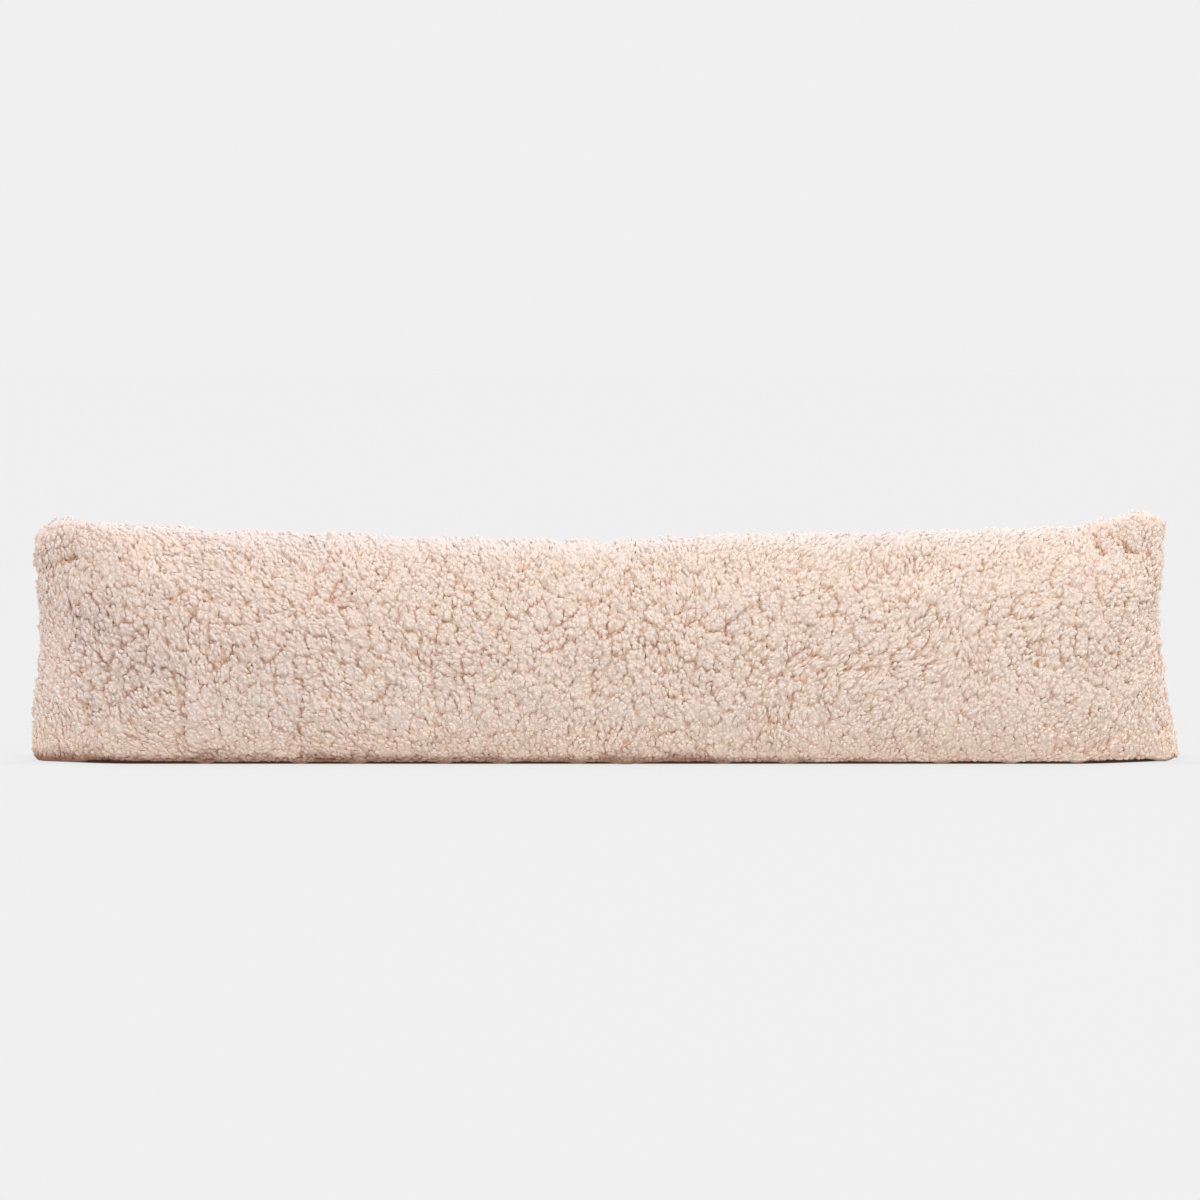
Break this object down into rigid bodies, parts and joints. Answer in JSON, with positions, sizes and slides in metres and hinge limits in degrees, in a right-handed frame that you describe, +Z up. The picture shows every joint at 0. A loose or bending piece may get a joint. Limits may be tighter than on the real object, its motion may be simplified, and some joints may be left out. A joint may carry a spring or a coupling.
{
  "type": "draught excluder",
  "caption": "Long, slim cushion in curly teddy fleece that stands on its long edge to keep draughts out under a door, sewn flat at both ends with soft ears",
  "frame": {"origin": "on the floor, under the middle of the cushion's length and depth", "axes": "+X along the length towards the taller ear, +Y from the front to the back, +Z up"},
  "size_m": [0.8934, 0.1194, 0.1955],
  "materials": {
    "teddy_fleece": "curly teddy fleece, a short dense pile in small clumps, matt"
  },
  "bodies": {
    "root": {"filled_cushion": "teddy_fleece"}
  },
  "joints": []
}
